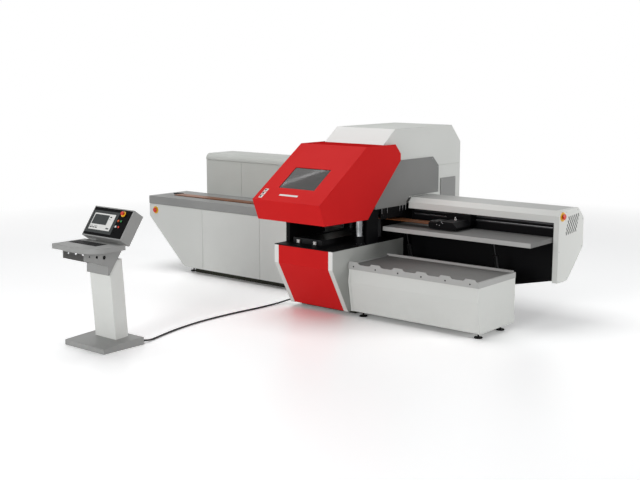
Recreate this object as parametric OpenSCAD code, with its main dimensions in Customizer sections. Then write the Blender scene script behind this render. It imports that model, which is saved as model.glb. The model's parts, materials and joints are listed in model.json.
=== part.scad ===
// Busbar processing machine: bar table, hydraulic press under a lifting hood,
// cantilever feed arm, output tray and a free-standing operator console.
// Millimetres. X runs along the bar, Y away from the operator, Z up from the floor.
// The origin is the centre of the foot plate under the press.

/* [Press] */
// Width of the press base over both cheeks
base_w = 850; // [800:10:900]
// Height of the press base under the bolster
base_h = 765; // [740:5:780]
// Thickness of each cheek of the base
cheek_t = 60; // [40:5:80]
// Height of the crease in the front panel
crease_h = 560; // [480:10:640]
// Set-back of the front panel at its foot
toe_back = 280; // [150:10:320]
// Thickness of the bolster plate
bolster_t = 10; // [8:1:14]
// Diameter of the guide column
column_d = 90; // [60:2:94]
// Height of the stepped collar round the foot of the column
collar_h = 95; // [70:5:120]
// Stroke of the ram down to the bar
ram_stroke = 28; // [20:1:30]

/* [Hood] */
// Distance from the housing to the outside of each side plate
hood_gap = 53; // [48:1:60]
// Thickness of the hood sheet
hood_t = 6; // [4:1:8]
// Width of the window opening
window_w = 515; // [400:5:600]
// Length of the window opening along the slope
window_l = 360; // [250:5:420]
// Distance from the nose to the window opening
window_at = 227; // [150:5:300]

/* [Housing] */
// How far the housing stands out over the press base on each side
housing_over = 5; // [4:1:10]
// Height of the housing roof above the table
roof_h = 1052; // [1000:5:1100]
// Thickness of the grey side cover
cover_t = 18; // [10:1:20]

/* [Bar table] */
// Height of the table surface
table_z = 1000; // [970:5:1040]
// Depth of the table
table_d = 700; // [620:10:760]
// Width of one cabinet panel
panel_w = 1040; // [900:10:1150]
// Height of the grey table edge
band_h = 105; // [60:5:140]
// Length cut off the foot of the slanted cabinet end
end_slant = 645; // [400:5:800]

/* [Busbar] */
// Width of the copper bar
bar_w = 160; // [60:5:170]
// Thickness of the copper bar
bar_t = 10; // [5:1:12]
// Length of bar held in the gripper's mouth
bar_grip = 81; // [40:1:100]

/* [Feed arm] */
// Length of the arm outside the housing
arm_l = 1885; // [1860:5:1950]
// Thickness of the end cap
cap_t = 60; // [40:5:80]
// Travel of the gripper carriage
feed_travel = 900; // [600:10:920]
// Depth of the support plate
plate_d = 530; // [450:5:540]
// Height of the folded edge of the support plate
plate_t = 50; // [30:2:52]

/* [Output tray] */
// Length of the tray box
tray_l = 1670; // [1650:10:1740]
// Depth of the tray box
tray_d = 747; // [650:5:760]
// Height of the tray rim
tray_z = 602; // [560:2:610]
// Depth of the grey rim
rim_h = 60; // [40:2:70]
// Number of upright teeth along the front of the rim
tooth_count = 6; // [3:1:6]
// Distance between two teeth
tooth_pitch = 300; // [260:5:305]
// Height of a tooth over the rim
tooth_h = 25; // [15:1:30]

/* [Console] */
// Width of the screen housing
screen_w = 600; // [500:10:640]
// Height of the screen housing along its slope
screen_h = 332; // [300:2:350]
// Width of the console shelf
shelf_w = 635; // [560:5:690]
// Lean of the console column in degrees
column_lean = 3.8; // [0:0.2:6]

/* [Cable] */
// Diameter of the console cable
cable_d = 20; // [14:1:22]

/* [Hidden] */
$fn = 64;
e = 0.3;                       // air between neighbouring pieces
run = 0.05;                    // radial clearance of a running pin
deep = 40;                     // overshoot of a cutting body

white = [0.86, 0.87, 0.85];
grey = [0.62, 0.63, 0.62];
dark = [0.25, 0.26, 0.27];
black = [0.07, 0.07, 0.08];
red = [0.76, 0.11, 0.12];
steel = [0.66, 0.67, 0.69];
copper = [0.75, 0.42, 0.25];
yellow = [0.95, 0.72, 0.08];

// press
wall_x = base_w / 2;
front_y = -790;
back_y = 640;
base_z0 = 50;
plinth_l = 700;
panel_t = 8;
bolster_z = base_h + bolster_t;
throat_y = 480;
flange_t = 30;
cheek_w = [55, 75];            // front cheeks of the frame, left and right
head_z0 = table_z + 130;
column_x = wall_x - 60;
column_y = -235;
bar_y = 380;
bar_z = table_z + e;
bar_top = bar_z + bar_t;
ram_t = 38;
ram_gap = 4;
ram_z1 = head_z0 - ram_gap;
ram_z0 = ram_z1 - ram_t;
ram_lift = ram_stroke + 2;     // tool tips above the bar at rest
station_x = [197 - wall_x, 405 - wall_x, wall_x - 237];
piston_d = 80;
piston_y = 100;
knob_x = [202 - wall_x, wall_x - 406];
knob_y = front_y + 200;
knob_z = bolster_z + 24;
cassette_z = bolster_z + 60;

// housing
cover_x = wall_x + housing_over;
house_front = 110;
house_back = 1748;
house_seam = table_z + 575;
head_z1 = house_seam;
brow_z = table_z + 876;
roof_z = table_z + roof_h;
roof_front = 350;
roof_back = 1537;
corner_z = roof_z - 214;
cover_z0 = table_z + 158;
strip_n = 13;
strip_gap = 2.6;
housing_z0 = 60;

// hood
hood_w = 2 * (cover_x + hood_gap);
hinge_y = 300;
hinge_z = table_z + 780;
hinge_d = 30;
nose = [-1088, table_z + 308];
chin = [-996, table_z + 77];
brow = [-254, table_z + 882];
crown = [98, brow[1]];
hood_outline = [nose, chin, [-230, chin[1] - 10], [-182, table_z + 122],
    [388, table_z + 692], [388, brow[1] - 112], [283, brow[1]], brow];
slope = atan2(brow[1] - nose[1], brow[0] - nose[0]);
glass_t = 5;

// bar table
table_x1 = -cover_x - 2;
table_x0 = table_x1 - 3 * panel_w;
table_y0 = bar_y - 305;
table_y1 = table_y0 + table_d;
band_z = table_z - band_h;
skirt_z = 80;
skirt_x0 = table_x0 + end_slant + 140;
foot_x = table_x0 + end_slant + 64;
pad_d = 88;                     // levelling pads
slant_top = band_z - 175;
groove_h = 14;
groove_w = 14;
channel_w = 176;
skin_t = 12;
seam = 4;

// rear cabinet
rear_x0 = table_x0 + 422;
rear_y1 = table_y1 + 515;
rear_z1 = table_z + 480;
rear_top = rear_z1 + 85;
rear_panels = 4;

// feed arm
arm_x0 = cover_x + 32;
arm_x1 = arm_x0 + arm_l;
arm_y0 = 590;
arm_wall = 700;
arm_top = table_z + 242;
arm_low = table_z - 537;
arm_nose = [arm_y0, arm_top - 55];
arm_back = [1175, arm_top - 121];
lip_z = table_z + 114;
arm_sheet = 5;
arm_outline = [[arm_y0, arm_low - 3], arm_nose, [arm_y0 + 54, arm_top], [1037, arm_top],
    arm_back, [1178, table_z - 212], [831, arm_low], [740, arm_low - 5]];
rail_z = [table_z + 40, table_z + 85];
rail_t = 16;
rail_w = 18;
pivot_y = 620;
pivot_z = table_z - 75;
pin_d = 24;
plate_x0 = cover_x + 10;
plate_x1 = arm_x1 - 10;
plate_y1 = pivot_y + 20;
plate_y0 = plate_y1 - plate_d;
plate_z1 = table_z - 50;
plate_z0 = plate_z1 - plate_t;
sheet = 4;
grip_x0 = arm_x0 + 503;
grip_x1 = grip_x0 + 375;
grip_y0 = 262;
grip_y1 = 560;
grip_z0 = table_z - 34;
grip_z1 = table_z + 50;
jaw_z = bar_top + e;
carriage_x = grip_x0 + 45;
carriage_l = 320;
bar_x0 = table_x0 + 262;
end_stop_x0 = table_x0 + 140;
bar_x1 = grip_x0 + bar_grip;
lift_x = [plate_x0 + 180, plate_x0 + 1330];
lug_y = pivot_y - 290;
lug_z = plate_z1 - 78;
foot_y = arm_wall - 255;
foot_z = table_z - 500;
lift_l = norm([foot_y - lug_y, lug_z - foot_z]);
lift_a = atan2(foot_y - lug_y, lug_z - foot_z);
rod_d = 12;
tube_d = 42;
tube_l = 235;
lug_pin = 10;
lug_play = 2.7;                // the opened pivot of the lift linkage

// tray
tray_x0 = wall_x + 5;
tray_x1 = tray_x0 + tray_l;
tray_y0 = front_y + 280;
tray_y1 = tray_y0 + tray_d;
tray_floor = 55;
tray_toe = 50;
tray_crease = tray_z - 207;
tray_pan = 10;
rim_w = 24;
rim_t = 6;
tooth_x = 67;
tooth_w = 175;
tooth_top = 120;

// console
con_x = -715;
con_y0 = -3277;
con_y1 = con_y0 + 509;
con_w = 608;
col_w = 320;
col_d = 157;
col_y = con_y0 + 271;
col_h = 800;
shelf_z = col_h + 240;
shelf_t = 50;
shelf_y0 = con_y0 - 88;
shelf_y1 = shelf_y0 + 400;
shelf_r = 150;
shelf_x0 = con_x - 335;
shelf_x1 = shelf_x0 + shelf_w;
key_w = 440;
key_d = 145;
key_x0 = shelf_x0 + 35;
key_y0 = shelf_y0 + 165;
face_low = [shelf_y1 - 63, shelf_z + 54];
screen_d = 134;
screen_lean = 34.7;
face_t = 10;
bezel = 12;
view_w = screen_w - 250;
view_h = screen_h - 112;
view_u = [38 - screen_w / 2, 52];
button_u = [for (v = [136, 200]) for (u = [150, 110]) [screen_w / 2 - u, screen_h - v]];
stop_u = [screen_w / 2 - 124, screen_h - 56];
port_u = [screen_w / 2 - 150, screen_h - 262];
button_dia = 22;

// ---------- helpers ----------

module box(x0, x1, y0, y1, z0, z1) {
    translate([x0, y0, z0]) cube([x1 - x0, y1 - y0, z1 - z0]);
}

// outline given as [y, z], drawn from x0 to x1
module along_x(x0, x1, pts) {
    translate([x0, 0, 0]) rotate([90, 0, 90]) linear_extrude(x1 - x0) polygon(pts);
}

// outline given as [x, z], drawn from y0 to y1
module along_y(y0, y1, pts) {
    translate([0, y1, 0]) rotate([90, 0, 0]) linear_extrude(y1 - y0) polygon(pts);
}

module pin_x(x0, x1, y, z, d) {
    translate([x0, y, z]) rotate([0, 90, 0]) cylinder(d = d, h = x1 - x0);
}

module pin_y(x, y0, y1, z, d) {
    translate([x, y0, z]) rotate([-90, 0, 0]) cylinder(d = d, h = y1 - y0);
}

module pin_z(x, y, z0, z1, d) {
    translate([x, y, z0]) cylinder(d = d, h = z1 - z0);
}

// folded sheet: an open outline made into a strip of even thickness on its left side
function normal(a, b) = [a[1] - b[1], b[0] - a[0]] / norm(b - a);
function miter(a, b, c, t) = let (u = normal(a, b), v = normal(b, c))
    b + t * (u + v) / (1 + u * v);
function folded(p, t) = let (m = len(p) - 1) concat(p,
    [p[m] + t * normal(p[m - 1], p[m])],
    [for (i = [m - 1:-1:1]) miter(p[i - 1], p[i], p[i + 1], t)],
    [p[0] + t * normal(p[0], p[1])]);

// frame of a plane whose +Z is the outward normal, for buttons
module on_face(at, turn) {
    translate(at) rotate(turn) children();
}

// ---------- press ----------

// dark recessed plinths; the first carries the press and the rest face
module plinths() {
    w = cover_x - 30;
    p = wall_x - 25;
    color(dark) {
        box(-p, p, -plinth_l / 2, plinth_l / 2, 0, base_z0);
        box(-w, w, back_y + 30, house_back - 30, 0, housing_z0);
        box(skirt_x0, table_x1, table_y0 + 115, table_y1 - 60, 0, skirt_z);
        box(rear_x0 + 60, table_x1, table_y1 + 60, rear_y1 - 50, 0, housing_z0);
    }
}

module press_base() {
    cheek = [[front_y, crease_h], [front_y, base_h], [back_y, base_h],
             [back_y, base_z0], [front_y + toe_back, base_z0]];
    front = folded(base_face(), panel_t);
    core = [front[5], front[4], front[3], [back_y, base_z0], [back_y, base_h]];
    color(white) {
        for (s = [-1, 1])
            along_x(s * (base_w - cheek_t) / 2 - cheek_t / 2,
                    s * (base_w - cheek_t) / 2 + cheek_t / 2, cheek);
        along_x(-base_w / 2 + cheek_t / 2, base_w / 2 - cheek_t / 2, core);
    }
}

function base_face() = [[front_y, base_h], [front_y, crease_h], [front_y + toe_back, base_z0]];

module press_panel() {
    w = wall_x - cheek_t - 1;
    f = base_face();
    color(red) along_x(-w, w, folded([f[0] - [0, 1], f[1], f[2] + (f[1] - f[2]) * 0.01],
        panel_t - e));
}

module bolster() {
    w = base_w / 2;
    color(black) {
        difference() {
            box(-w, w, front_y, throat_y - e, base_h, bolster_z);
            for (x = [station_x[2] - 40, station_x[2] + 40]) for (y = [-400, -60])
                pin_z(x, y, base_h + 2, bolster_z + 1, 14);
        }
        column_collar();
    }
}

// spool round the foot of the guide column
module column_collar() {
    translate([column_x, column_y, bolster_z]) difference() {
        union() {
            cylinder(d = column_d + 24, h = 14);
            cylinder(d = column_d + 8, h = collar_h);
            translate([0, 0, collar_h - 22]) cylinder(d = column_d + 16, h = 22);
        }
        translate([0, 0, -1]) cylinder(d = column_d + 2 * e, h = collar_h + 2);
    }
}

module head_profile(w) {
    along_x(-w, w, [[-640, head_z0 + flange_t], [-640, head_z0 + 240], [-150, head_z1],
                    [back_y, head_z1], [back_y, head_z0 + flange_t]]);
}

// welded frame round the throat: head, rear wall and front cheeks
module press_frame() {
    color(black) difference() {
        union() {
            box(-wall_x, wall_x, -640, back_y, head_z0, head_z0 + flange_t);
            head_profile(wall_x - 95);
            box(-wall_x, wall_x, throat_y, back_y, base_h, head_z0 + 1);
            box(-wall_x, cheek_w[0] - wall_x, -590, 40, bolster_z, head_z0 + 1);
            box(wall_x - cheek_w[1], wall_x, -175, 40, bolster_z, head_z0 + 1);
            pin_x(wall_x - 1, plate_x0 - 2, pivot_y, pivot_z, pin_d + 14);
        }
        pin_x(wall_x - 16, plate_x0, pivot_y, pivot_z, pin_d + 2 * run);
        pin_z(0, piston_y, head_z0 - 1, ram_z1 + 190, piston_d + 2 * run);
        for (y = [-560, -420, -280]) for (s = [-1, 1])
            pin_z(s * (wall_x - 45), y, head_z0 + flange_t - 12, head_z0 + flange_t + 1, 22);
    }
}

// chrome column that guides the ram
module guide_column() {
    color(steel) pin_z(column_x, column_y, bolster_z, head_z0, column_d);
}

module ram_plate() {
    color(steel) difference() {
        union() {
            box(95 - wall_x, wall_x - 10, -290, throat_y - 10, ram_z0, ram_z1);
            pin_z(0, piston_y, ram_z1 - 1, ram_z1 + 150, piston_d);
        }
        pin_z(column_x, column_y, ram_z0 - 1, ram_z1 + 1, column_d + 2 * run);
        box(wall_x - cheek_w[1] - 2 - e, wall_x, -177, 42, ram_z0 - 1, ram_z1 + 1);
    }
}

// holder, guide sleeve and round punch over each station
module punches() {
    tip = bar_top + ram_lift;
    color(dark) for (x = station_x) {
        pin_z(x, bar_y, tip + 16, ram_z0, 84);
        pin_z(x, bar_y, tip + 6, tip + 16, 60);
        pin_z(x, bar_y, tip, tip + 6, 18);
    }
}

module die_towers() {
    for (i = [0:2]) {
        z0 = i < 2 ? cassette_z - 1 : bolster_z;
        difference() {
            union() {
                pin_z(station_x[i], bar_y, z0, bar_z - 16, 84);
                pin_z(station_x[i], bar_y, bar_z - 16, bar_z - 2, 70);
            }
            pin_z(station_x[i], bar_y, bar_z - 60, bar_z, 19);
        }
    }
}

// die towers under the stations, two of them on a clamped cassette
module die_set() {
    x0 = knob_x[0] - 90;
    x1 = knob_x[1] + 90;
    color(dark) die_towers();
    color(dark) difference() {
        box(x0, x1, knob_y, throat_y - 12, bolster_z, cassette_z);
        for (x = knob_x) pin_y(x, knob_y - 1, knob_y + 40, knob_z, 12 + 2 * run);
        box(x0 + 60, x1 - 60, knob_y + 60, 250, cassette_z - 12, cassette_z + 1);
    }
}

// four-lobed clamping knob with its stud
module star_knob(i) {
    color(white) difference() {
        union() {
            pin_y(knob_x[i], knob_y - 26, knob_y - 6, knob_z, 30);
            for (k = [0:3])
                translate([knob_x[i], knob_y - 26, knob_z]) rotate([0, 45 + k * 90, 0])
                    translate([0, 0, 17]) rotate([-90, 0, 0]) cylinder(d = 15, h = 18);
            pin_y(knob_x[i], knob_y - 8, knob_y - e, knob_z, 18);
            pin_y(knob_x[i], knob_y - 8, knob_y + 34, knob_z, 12);
        }
        pin_y(knob_x[i], knob_y - 27, knob_y - 22, knob_z, 12);
    }
}

// ---------- hood ----------

// sheet of the hood: chin flange, chin, slope and flat crown folded from one strip
module hood_skin(x0, x1) {
    along_x(x0, x1, folded([crown, brow, nose, chin, chin + [46, 0]], hood_t));
}

module slope_frame(x, along, up) {
    translate([x, nose[0], nose[1]]) rotate([slope, 0, 0]) translate([0, along, up]) children();
}

module hood() {
    w = hood_w / 2;
    color(red) difference() {
        union() {
            for (s = [-1, 1])
                along_x(s * (w - hood_t / 2) - hood_t / 2, s * (w - hood_t / 2) + hood_t / 2,
                        hood_outline);
            hood_skin(-w, w);
            for (s = [-1, 1]) hinge_pin(s, w - hood_t - 20, w - 1, hinge_d + 20);
        }
        slope_frame(-window_w / 2, window_at, -deep)
            cube([window_w, window_l, 2 * deep]);
        for (s = [-1, 1]) hinge_pin(s, w - hood_t - 21, w - hood_t, hinge_d + 2 * run);
    }
}

module hood_window() {
    b = 18;
    color(dark) slope_frame(-window_w / 2 - b, window_at - b, -hood_t - glass_t - e)
        cube([window_w + 2 * b, window_l + 2 * b, glass_t]);
}

// round body on the hinge axis between two distances from the middle
module hinge_pin(s, a, b, d) {
    pin_x(min(s * a, s * b), max(s * a, s * b), hinge_y, hinge_z, d);
}

module hood_pins() {
    w = hood_w / 2;
    color(steel) for (s = [-1, 1]) hinge_pin(s, cover_x, w - hood_t - 1, hinge_d);
}

// ---------- housing ----------

module housing_lower() {
    w = cover_x;
    color(white) {
        box(-w, w, back_y, house_back, housing_z0, house_seam - seam);
        box(seam - w, w - seam, back_y, house_back - seam, housing_z0, house_seam);
    }
}

module housing_upper() {
    w = cover_x;
    color(white) along_x(-w, w, [[house_front, house_seam], [house_front, brow_z],
        [roof_front, roof_z], [roof_back, roof_z], [house_back, corner_z],
        [house_back, house_seam]]);
}

// grey cover beside the hood and the plain service panel behind it
module side_covers() {
    service_panel();
    top = house_seam + 111;
    color(grey) along_x(cover_x, cover_x + cover_t, [[-50, cover_z0], [566, cover_z0],
        [566, arm_top - 42], [622, arm_top + 8], [1239, arm_top + 8], [1239, house_seam - 3],
        [1114, top], [136, top], [-50, house_seam - 75]]);
}

module service_panel() {
    color(grey) box(cover_x, cover_x + 10, house_back - 443, house_back - 113,
        table_z - 100, table_z + 410);
}

// hanging strips that close the bar passage, and the dark plates where the arm is bolted on
module curtain() {
    y0 = table_y0 - 5;
    y1 = arm_y0 - 34;
    x = cover_x + 7;
    step = (y1 - y0) / strip_n;
    color(black) box(x, cover_x + cover_t - 1, y0 - 4, y1 + 4, cover_z0 - 22, cover_z0);
    color(black) for (i = [0:strip_n - 1])
        box(x - 3, x, y0 + i * step, y0 + (i + 1) * step - strip_gap, table_z + 30, cover_z0 - 1);
    color(black) {
        joint_plate(533, pivot_z + 30, cover_z0 - 1);
        joint_plate(back_y + e, pivot_z - 30 + e, pivot_z + 30 - e);
        joint_plate(533, arm_low - 5, pivot_z - 30);
    }
}

module joint_plate(y0, z0, z1) {
    box(cover_x, cover_x + 3, y0, arm_wall - e, z0, z1);
}

// ---------- bar table ----------

module cabinet() {
    y0 = table_y0 + skin_t;
    color(white) difference() {
        along_y(y0, table_y1, [[table_x0 + 6, band_z], [table_x1, band_z],
            [table_x1, skirt_z], [table_x0 + end_slant + 40, skirt_z],
            [table_x0 + end_slant + 6, skirt_z + 30], [table_x0 + 6, slant_top]]);
        on_table() stop_bore();
    }
}

module cabinet_panels() {
    difference() {
        for (i = [0:2]) cabinet_panel(i);
        on_table() stop_bore();
    }
}

module cabinet_panel(i) {
    x0 = table_x0 + i * panel_w + (i == 0 ? 0 : seam / 2);
    x1 = table_x0 + (i + 1) * panel_w - seam / 2;
    z1 = band_z - seam;
    color(white) if (i == 0)
        along_y(table_y0, table_y0 + skin_t, [[x0, z1], [x1, z1], [x1, skirt_z],
            [table_x0 + end_slant + 40, skirt_z], [table_x0 + end_slant, skirt_z + 30],
            [x0, slant_top]]);
    else
        box(x0, x1, table_y0, table_y0 + skin_t, skirt_z, z1);
}

module levelling_foot(x, y, top) {
    pin_z(x, y, 0, 12, pad_d);
    pin_z(x, y, 11, top, 18);
}

module levelling_feet() {
    tray_feet();
    color(black) for (y = [table_y0 + 150, table_y1 - 120]) levelling_foot(foot_x, y, skirt_z);
}

module table_top() {
    color(grey) difference() {
        box(table_x0, table_x1, table_y0 - 4, table_y1, band_z, table_z);
        for (s = [-1, 1]) {
            y0 = bar_y + s * (channel_w + groove_w) / 2 - groove_w / 2;
            box(table_x0 + 90, table_x1 + 1, y0, y0 + groove_w, table_z - groove_h, table_z + 1);
        }
    }
}

// low block the bar's rear corner butts against
module end_stop() {
    color(dark) difference() {
        box(end_stop_x0, bar_x0 - e, bar_y + 20, bar_y + 100, table_z, table_z + 14);
        for (y = [bar_y + 40, bar_y + 80])
            pin_z((end_stop_x0 + bar_x0) / 2, y, table_z + 8, table_z + 15, 14);
    }
}

module busbar() {
    color(copper) difference() {
        box(bar_x0, bar_x1, bar_y - bar_w / 2, bar_y + bar_w / 2, bar_z, bar_top);
        for (i = [0:3])
            pin_z(bar_x0 + 40 + i * 50, bar_y + (i % 2) * 40 - 20, bar_z - 1, bar_top + 1, 18);
    }
}

module rear_panel(i) {
    w = (table_x1 - rear_x0) / rear_panels;
    color(white) box(rear_x0 + i * w + (i == 0 ? 0 : seam / 2),
        rear_x0 + (i + 1) * w - seam / 2, table_y1, table_y1 + skin_t, housing_z0, rear_z1 - seam);
}

// tall cabinet behind the table: carcass, panels and a lid with a rolled front edge
module rear_cabinet() {
    color(white) box(rear_x0 + 8, table_x1, table_y1 + skin_t, rear_y1, housing_z0, rear_z1);
    for (i = [0:rear_panels - 1]) rear_panel(i);
    rear_lid();
}

module rear_lid() {
    r = rear_top - rear_z1 - 12;
    y0 = table_y1 - 6;
    color(white) union() {
        box(rear_x0, table_x1, y0, rear_y1 + 6, rear_z1, rear_z1 + 12);
        box(rear_x0, table_x1, y0 + r, rear_y1 + 6, rear_z1 + 11, rear_top);
        intersection() {
            pin_x(rear_x0, table_x1, y0 + r, rear_z1 + 12, 2 * r);
            box(rear_x0, table_x1, y0, y0 + r + 1, rear_z1 + 11, rear_top + 1);
        }
    }
}

// ---------- feed arm ----------

// outside of the arm's cover, from the back over the top to the lip in front
function cover_edge() = [arm_back - [0, 21], arm_back, [1037, arm_top], [arm_y0 + 54, arm_top],
    arm_nose, [arm_y0, lip_z], [arm_y0 + 30, lip_z]];

module arm_beam() {
    s = arm_sheet;
    inner = folded(cover_edge(), s);
    tip = arm_low + 7;
    color(black) {
        lift_brackets();
        along_x(cover_x, arm_x1, [[arm_wall, arm_low - 5], [arm_wall, arm_top - s], inner[11],
            inner[12], [arm_back[0] - s, table_z - 210], [829, arm_low + 3], [760, arm_low - 4]]);
        along_y(arm_wall, arm_wall + 60, [[cover_x, base_z0], [cover_x, tip], [arm_x1, tip]]);
    }
}

module arm_cover() {
    color(grey) along_x(arm_x0, arm_x1, folded(cover_edge(), arm_sheet));
}

module end_cap() {
    x1 = arm_x1 + cap_t;
    color(white) difference() {
        along_x(arm_x1, x1, arm_outline);
        // slanted cooling slots
        for (i = [0:5]) for (j = [0:4])
            translate([x1 - 6, 770 + i * 44 + j * 14, table_z - 32 + j * 40 + i * 3])
                rotate([28, 0, 0]) cube([10, 10, 34]);
        pin_x(arm_x1 - 1, arm_x1 + 30, pivot_y, pivot_z, pin_d + 2 * run);
        on_cap() stop_bore();
    }
}

// two rails on the arm's wall, long enough for the travel of the carriage
module feed_rails() {
    x1 = carriage_x + carriage_l + feed_travel + 60;
    color(steel) for (z = rail_z)
        box(arm_x0 + 20, x1, arm_wall - rail_t, arm_wall, z - rail_w / 2, z + rail_w / 2);
}

module carriage() {
    x1 = carriage_x + carriage_l;
    h = rail_w / 2 + e;
    color(black) difference() {
        box(carriage_x, x1, grip_y1, arm_wall - 2, grip_z1 - 60, lip_z - 10);
        for (z = rail_z)
            box(carriage_x - 1, x1 + 1, arm_wall - rail_t - e, arm_wall, z - h, z + h);
    }
}

// lower half of the gripper, open to the left for the bar
module gripper() {
    color(black) difference() {
        along_y(grip_y0, grip_y1, [[grip_x0, grip_z0 + 20], [grip_x0, grip_z1 - 20],
            [grip_x0 + 110, grip_z1 - 20], [grip_x0 + 150, grip_z1], [grip_x1 - 60, grip_z1],
            [grip_x1, grip_z0 + 30], [grip_x1 - 20, grip_z0], [grip_x0 + 20, grip_z0]]);
        box(grip_x0 - 1, grip_x0 + 110, bar_y - 105, bar_y + 105, bar_z - e, grip_z1 + 1);
        for (y = [300, 340]) pin_z(grip_x0 + 155, y, grip_z1 - 6, grip_z1 + 1, 14);
    }
}

module gripper_jaw() {
    color(dark) difference() {
        box(grip_x0 + 2, grip_x0 + 106, bar_y - 100, bar_y + 100, jaw_z, grip_z1 - 6);
        for (y = [-66, -22, 22, 66])
            pin_z(grip_x0 + 40, bar_y + y, grip_z1 - 14, grip_z1, 12);
    }
}

module gripper_lever() {
    at = [grip_x0 + 225, 470, grip_z1 + e];
    color(white) {
        translate(at) cylinder(d = 26, h = 16);
        translate(at + [0, 0, 8]) rotate([0, 64, -60]) cylinder(d1 = 14, d2 = 10, h = 74);
    }
}

// drop plate: sheet folded down all round, with its hinge pins and lift lugs
module support_plate() {
    color(grey) {
        difference() {
            box(plate_x0, plate_x1, plate_y0, plate_y1, plate_z0, plate_z1);
            box(plate_x0 + sheet, plate_x1 - sheet, plate_y0 + sheet, pivot_y - 40,
                plate_z0 - 1, plate_z1 - sheet);
        }
        pin_x(plate_x1 - 20, arm_x1 + 26, pivot_y, pivot_z, pin_d);
        pin_x(plate_x1 - 1, arm_x1 - e, pivot_y, pivot_z, pin_d + 16);
        pin_x(wall_x - 12, plate_x0 + 20, pivot_y, pivot_z, pin_d);
        plate_lugs();
    }
}

module plate_lugs() {
    top = plate_z1 - sheet + 1;
    for (x = lift_x) {
        difference() {
            along_x(x - 20, x + 20, [[lug_y - 24, top], [lug_y - 14, lug_z - 14],
                [lug_y + 14, lug_z - 14], [lug_y + 24, top]]);
            box(x - 10, x + 10, lug_y - 40, lug_y + 40, lug_z - 40, lug_z + 34);
        }
        pin_x(x - 20, x + 20, lug_y, lug_z, lug_pin);
    }
}

module lift_frame(x) {
    translate([x, foot_y, foot_z]) rotate([lift_a, 0, 0]) children();
}

module lift_tube(x) {
    color(steel) lift_frame(x) difference() {
        union() {
            translate([0, 0, 26]) cylinder(d = tube_d, h = tube_l - 26);
            translate([0, 0, tube_l - 24]) cylinder(d = tube_d + 6, h = 24);
            translate([0, 0, 20]) cylinder(d = tube_d + 6, h = 22);
            translate([-8, -14, -14]) cube([16, 28, 36]);
        }
        translate([0, 0, 60]) cylinder(d = rod_d + 2 * run, h = tube_l);
        translate([-30, 0, 0]) rotate([0, 90, 0]) cylinder(d = 12 + 2 * run, h = 60);
    }
}

module lift_rod(x) {
    eye = lug_pin + 2 * lug_play;
    color(steel) lift_frame(x) {
        translate([0, 0, tube_l - 85]) cylinder(d = rod_d, h = lift_l - tube_l + 70);
        difference() {
            translate([-8, -15, lift_l - 18]) cube([16, 30, 34]);
            translate([-30, 0, lift_l]) rotate([0, 90, 0]) cylinder(d = eye, h = 60);
        }
    }
}

module lift_brackets() {
    for (x = lift_x) {
        for (s = [-1, 1])
            along_x(x + s * 15 - 6, x + s * 15 + 6, [[arm_wall + 1, foot_z + 20], [arm_wall + 1, foot_z - 60],
                [foot_y, foot_z - 20], [foot_y - 20, foot_z], [foot_y, foot_z + 20]]);
        box(x - 45, x + 45, arm_wall - 10, arm_wall, foot_z - 70, foot_z + 30);
        pin_x(x - 20, x + 20, foot_y, foot_z, 12);
    }
}

// ---------- output tray ----------

// creased front of the tray box
function tray_face() = [[tray_y0 + 6, tray_z - rim_h], [tray_y0 - 6, tray_crease],
    [tray_y0 + tray_toe, tray_floor]];

module tray_body() {
    f = tray_face();
    in = folded([f[0] + (f[0] - f[1]) * 0.1, f[1], f[2] + (f[2] - f[1]) * 0.1], panel_t);
    color(white) difference() {
        along_x(tray_x0, tray_x1, concat([for (q = f) q - [2, 0]],
            [[tray_y1, tray_floor], [tray_y1, tray_z - rim_h]]));
        along_x(tray_x0 + 30, tray_x1 - 30, [in[0] - [60, 0], in[5], in[4], in[3], in[2] - [60, 0]]);
    }
}

module tray_front() {
    f = tray_face();
    color(white) along_x(tray_x0 + 31, tray_x1 - 31, folded([f[0] + (f[1] - f[0]) * 0.01, f[1],
        f[2] + (f[1] - f[2]) * 0.01], panel_t - e));
}

// tooth outline from its centre, with eased shoulders
function tooth_side(s) = [[tooth_w / 2, 0], [tooth_top / 2 + 8, tooth_h * 0.3],
    [tooth_top / 2, tooth_h * 0.88], [tooth_top / 2 - 8, tooth_h]] * [[s, 0], [0, 1]];

module tray_tooth(i) {
    a = tooth_side(-1);
    b = tooth_side(1);
    translate([tray_x0 + tooth_x + i * tooth_pitch, 0, tray_z])
        along_y(tray_y0, tray_y0 + rim_t, concat([[-tooth_w / 2, -4]], a,
            [for (k = [3:-1:0]) b[k]], [[tooth_w / 2, -4]]));
}

// frame round the pan: an upright toothed front, flanged sides and a raised rear lip
module tray_rim() {
    tray_lip();
    color(grey) difference() {
        union() {
            box(tray_x0 - 4, tray_x1 + 4, tray_y0, tray_y1, tray_z - rim_h, tray_z);
            intersection() {
                for (i = [0:tooth_count - 1]) tray_tooth(i);
                box(tray_x0 - 4, tray_x1 + 4, tray_y0, tray_y1, tray_z - rim_h, tray_z + deep);
            }
        }
        box(tray_x0 + rim_w, tray_x1 - rim_w, tray_y0 + rim_t, tray_y1 - rim_w,
            tray_z - rim_h - 1, tray_z + deep);
        for (i = [0:tooth_count - 1])
            pin_y(tray_x0 + tooth_x + i * tooth_pitch, tray_y0 - 1, tray_y0 + rim_t + 1,
                  tray_z - 27, 10);
    }
}

module tray_pan() {
    color(dark) box(tray_x0 + rim_w + e, tray_x1 - rim_w - e, tray_y0 + rim_t + e,
        tray_y1 - rim_w - e, tray_z - rim_h, tray_z - tray_pan);
}

module tray_lip() {
    color(grey) along_x(tray_x0 - 2, tray_x1 - 20, [[tray_y1 - 30, tray_z], [tray_y1 - 22, tray_z + 16],
        [tray_y1 - 2, tray_z + 16], [tray_y1 - 2, tray_z]]);
}

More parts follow.
